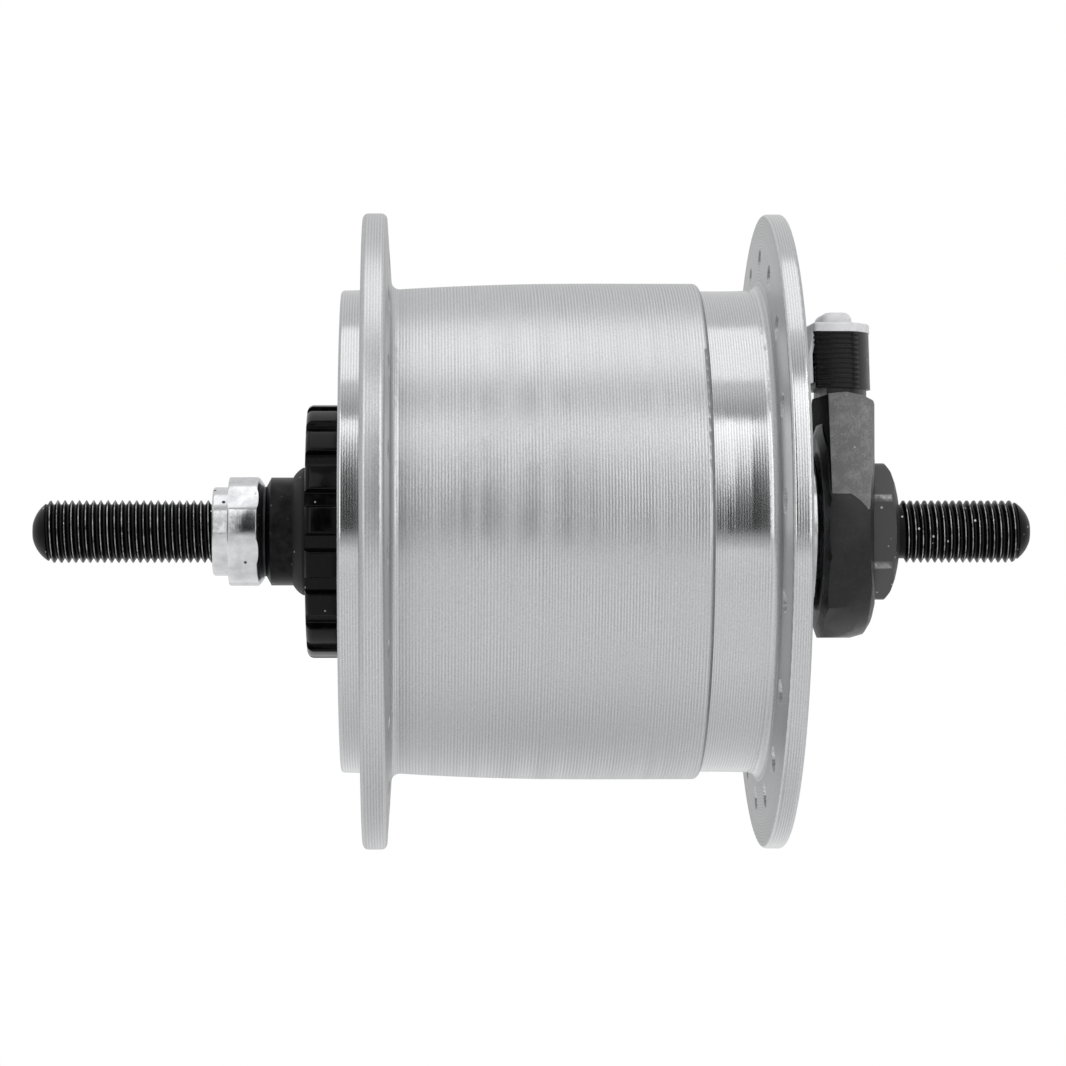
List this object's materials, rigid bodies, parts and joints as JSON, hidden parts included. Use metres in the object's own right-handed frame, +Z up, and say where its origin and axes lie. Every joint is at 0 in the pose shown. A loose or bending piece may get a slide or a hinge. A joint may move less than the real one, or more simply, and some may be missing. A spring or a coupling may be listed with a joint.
{
  "type": "hub dynamo",
  "caption": "Bicycle front hub with a built-in generator: spoked flanged shell on a threaded axle, brake spline on the left and a pull-off lamp connector on the right.",
  "frame": {"origin": "middle of the axle, on its centre line", "axes": "+Y along the axle towards the bicycle's left side, where the brake spline is; +X the way the bicycle travels; +Z up"},
  "size_m": [0.089, 0.14, 0.089],
  "materials": {
    "axle": "black oxide, worn to steel on the thread's crests",
    "left_locknut": "bright zinc plate",
    "left_lock_washer": "dark steel",
    "left_cone": "black oxide",
    "left_cone_seal": "satin black",
    "right_cone": "ground steel",
    "right_lock_washer": "dark steel",
    "right_locknut": "black oxide",
    "terminal_housing": "dark grey, satin",
    "terminal_contacts": "bright",
    "lead_wires": "insulated wire",
    "stator_core": "bare steel",
    "stator_yoke_left": "bare steel",
    "stator_yoke_right": "bare steel",
    "coil_bobbin": "moulded black",
    "coil_winding": "enamelled copper wire",
    "stator_washer": "bare steel",
    "stator_nut": "bare steel",
    "hub_shell": "turned and polished",
    "right_flange_cap": "turned and polished",
    "left_end_cover": "turned and polished",
    "brake_spline_plate": "glossy black",
    "left_grease_ring": "satin black",
    "right_dust_cap": "pressed and plated",
    "left_bearing_cup": "ground steel",
    "right_bearing_cup": "ground steel",
    "rotor_ring": "bare steel",
    "rotor_magnets": "dark grey ferrite",
    "left_balls": "polished",
    "left_ball_cage": "pressed",
    "right_balls": "polished",
    "right_ball_cage": "pressed",
    "plug_body": "black, ribbed ends",
    "plug_cover": "light grey"
  },
  "bodies": {
    "axle_group": {"axle": "axle", "left_locknut": "left_locknut", "left_lock_washer": "left_lock_washer", "left_cone": "left_cone", "left_cone_seal": "left_cone_seal", "right_cone": "right_cone", "right_lock_washer": "right_lock_washer", "right_locknut": "right_locknut", "terminal_housing": "terminal_housing", "terminal_contacts": "terminal_contacts", "lead_wires": "lead_wires", "stator_core": "stator_core", "stator_yoke_left": "stator_yoke_left", "stator_yoke_right": "stator_yoke_right", "coil_bobbin": "coil_bobbin", "coil_winding": "coil_winding", "stator_washer": "stator_washer", "stator_nut": "stator_nut"},
    "hub": {"hub_shell": "hub_shell", "right_flange_cap": "right_flange_cap", "left_end_cover": "left_end_cover", "brake_spline_plate": "brake_spline_plate", "left_grease_ring": "left_grease_ring", "right_dust_cap": "right_dust_cap", "left_bearing_cup": "left_bearing_cup", "right_bearing_cup": "right_bearing_cup", "rotor_ring": "rotor_ring", "rotor_magnets": "rotor_magnets"},
    "left_cage": {"left_balls": "left_balls", "left_ball_cage": "left_ball_cage"},
    "right_cage": {"right_balls": "right_balls", "right_ball_cage": "right_ball_cage"},
    "plug": {"plug_body": "plug_body"},
    "plug_lid": {"plug_cover": "plug_cover"}
  },
  "joints": [
    {"name": "hub_spin", "type": "hinge", "parent": "axle_group", "child": "hub", "pos_m": [0, 0, 0], "axis": [0, 1, 0], "continuous": true},
    {"name": "left_cage_spin", "type": "hinge", "parent": "axle_group", "child": "left_cage", "pos_m": [0, 0.0276, 0], "axis": [0, 1, 0], "continuous": true},
    {"name": "right_cage_spin", "type": "hinge", "parent": "axle_group", "child": "right_cage", "pos_m": [0, -0.0324, 0], "axis": [0, 1, 0], "continuous": true},
    {"name": "plug_pull", "type": "slide", "parent": "axle_group", "child": "plug", "axis": [0, 0, 1], "range_m": [0, 0.015]},
    {"name": "lid_pull", "type": "slide", "parent": "plug", "child": "plug_lid", "axis": [0, 0, 1], "range_m": [0, 0.01]}
  ],
  "couplings": [
    {"joint": "left_cage_spin", "follows": "hub_spin", "ratio": 0.59},
    {"joint": "right_cage_spin", "follows": "hub_spin", "ratio": 0.59}
  ]
}
